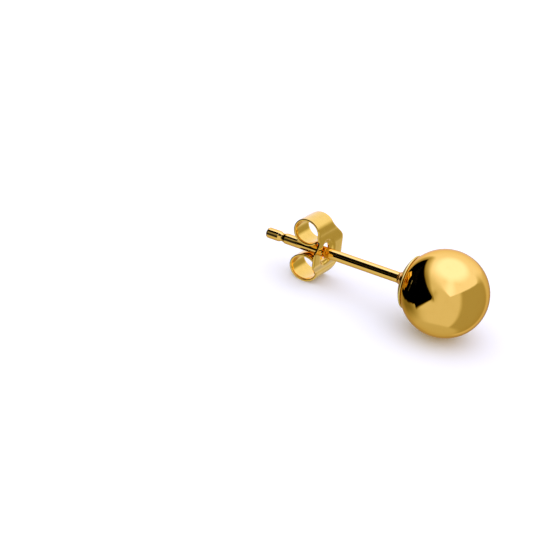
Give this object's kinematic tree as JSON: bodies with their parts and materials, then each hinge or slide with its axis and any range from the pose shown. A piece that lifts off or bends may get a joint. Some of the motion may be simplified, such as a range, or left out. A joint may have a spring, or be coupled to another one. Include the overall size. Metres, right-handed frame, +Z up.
{
  "type": "ball stud earring",
  "caption": "Polished gold ball on a straight notched ear post, with a butterfly back that slides along the post and comes off over its tip, for a pierced ear lobe.",
  "frame": {"origin": "on the table, under the middle of the lying earring", "axes": "+Z up, +X along the table from the post's tip towards the ball, +Y along the axes of the scrolls"},
  "size_m": [0.017, 0.006, 0.006],
  "materials": {
    "polished_gold": "mirror-polished yellow gold",
    "sheet_gold": "polished rolled yellow gold sheet"
  },
  "bodies": {
    "stud": {"ball_stud": "polished_gold"},
    "back": {"butterfly_back": "sheet_gold"}
  },
  "joints": [
    {"name": "back_slide", "type": "slide", "parent": "stud", "child": "back", "axis": [-0.9983, 0, -0.0581], "range_m": [-0.00606, 0.008]}
  ]
}
